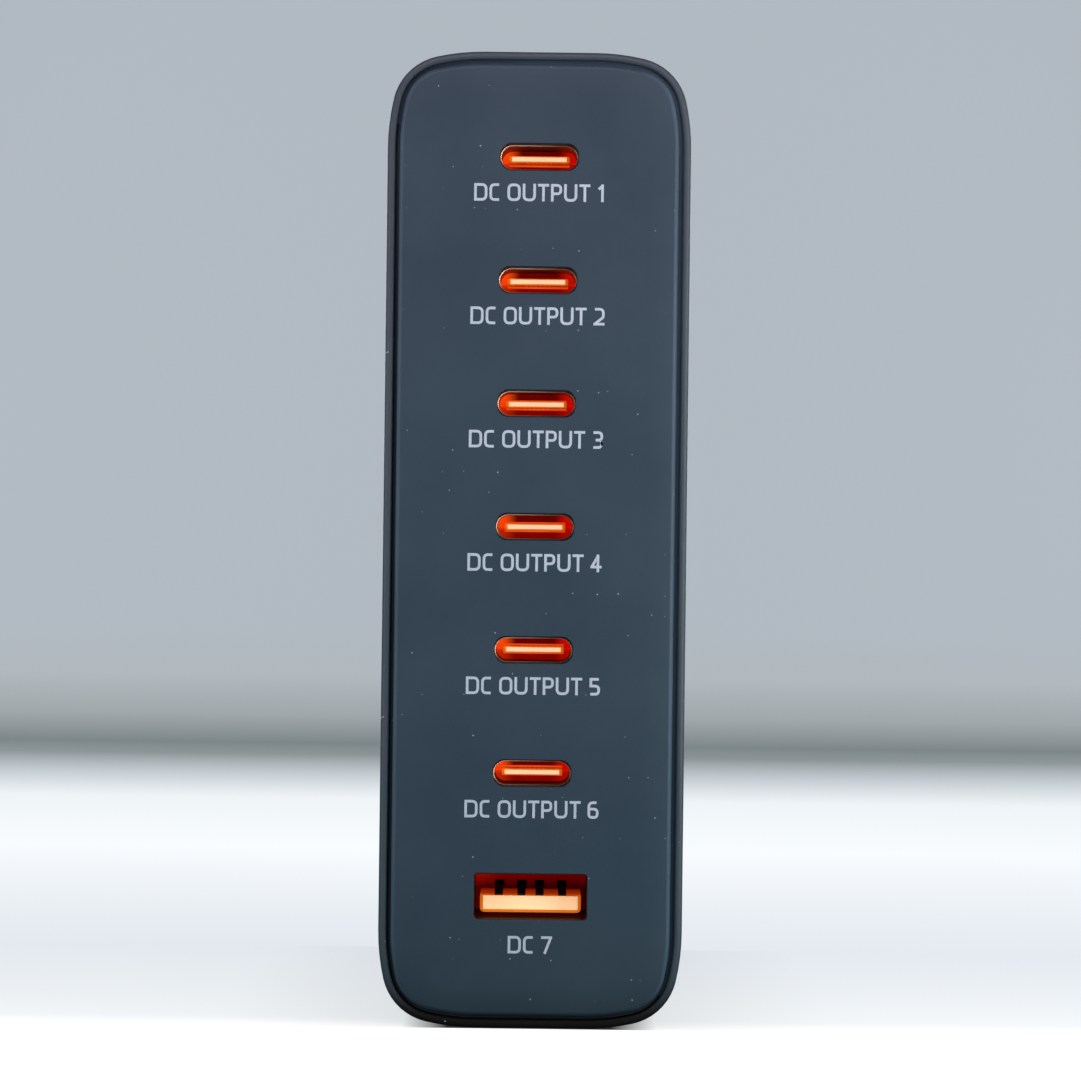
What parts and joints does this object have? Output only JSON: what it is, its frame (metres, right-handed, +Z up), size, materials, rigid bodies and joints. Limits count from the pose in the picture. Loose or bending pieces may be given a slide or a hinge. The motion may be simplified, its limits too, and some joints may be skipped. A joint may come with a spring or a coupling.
{
  "type": "multi port usb desktop charger",
  "caption": "Slim upright desktop charger with soft square corners, an inset front panel with a column of oval and flat charging ports, and a mains inlet at the rear.",
  "frame": {"origin": "middle of the foot, on the surface the charger stands on", "axes": "+Z up along the height, -Y out of the front with the ports, +X to the right seen from the front"},
  "size_m": [0.0334, 0.084, 0.107],
  "materials": {
    "housing_plastic": "slate grey moulded plastic, finely textured, matte",
    "panel_plastic": "slate grey moulded plastic, fine satin texture",
    "port_orange": "bright orange moulded insulator",
    "port_steel": "nickel-plated drawn steel",
    "contact_gold": "gold-plated contact strip",
    "contact_dark": "dark plated spring strip",
    "board_laminate": "glass-fibre laminate with green mask",
    "inlet_plastic": "black moulded plastic",
    "pin_nickel": "nickel-plated brass",
    "black_epoxy": "black moulded epoxy",
    "moulded_powder": "pressed grey iron powder",
    "fuse_body": "brown moulded fuse case",
    "disc_coating": "blue dipped coating",
    "film_box": "yellow moulded box",
    "can_bare": "bare drawn aluminium can",
    "can_sleeve": "dark shrink sleeve over a drawn can",
    "ferrite": "dark grey sintered ferrite",
    "bobbin_plastic": "black moulded bobbin",
    "winding_tape": "winding wrapped in yellow tape",
    "copper_wire": "enamelled copper wire",
    "bare_aluminium": "rolled aluminium",
    "sheet_film": "translucent insulating film",
    "pad_silicone": "soft filled silicone"
  },
  "bodies": {
    "root": {"bridge_rectifier": "black_epoxy", "bulk_capacitor_1": "can_sleeve", "bulk_capacitor_2": "can_sleeve", "choke_core": "ferrite", "choke_winding": "copper_wire", "front_cover": "panel_plastic", "fuse": "fuse_body", "heat_spreader": "bare_aluminium", "housing_shell": "housing_plastic", "inlet_pins": "pin_nickel", "inlet_socket": "inlet_plastic", "insulating_sheet": "sheet_film", "main_board": "board_laminate", "output_capacitors": "can_bare", "pfc_core": "ferrite", "pfc_winding": "copper_wire", "port_board": "board_laminate", "port_controllers": "black_epoxy", "port_inductors": "moulded_powder", "safety_capacitor": "disc_coating", "switch_heatsink": "bare_aluminium", "thermal_pad": "pad_silicone", "transformer_bobbin": "bobbin_plastic", "transformer_core": "ferrite", "transformer_winding": "winding_tape", "usb_a_contacts": "contact_dark", "usb_a_shell": "port_steel", "usb_a_tongue": "port_orange", "usb_c_contacts_1": "contact_gold", "usb_c_contacts_2": "contact_gold", "usb_c_contacts_3": "contact_gold", "usb_c_contacts_4": "contact_gold", "usb_c_contacts_5": "contact_gold", "usb_c_contacts_6": "contact_gold", "usb_c_shell_1": "port_steel", "usb_c_shell_2": "port_steel", "usb_c_shell_3": "port_steel", "usb_c_shell_4": "port_steel", "usb_c_shell_5": "port_steel", "usb_c_shell_6": "port_steel", "usb_c_tongue_1": "port_orange", "usb_c_tongue_2": "port_orange", "usb_c_tongue_3": "port_orange", "usb_c_tongue_4": "port_orange", "usb_c_tongue_5": "port_orange", "usb_c_tongue_6": "port_orange", "varistor": "disc_coating", "x_capacitor": "film_box"}
  },
  "joints": []
}
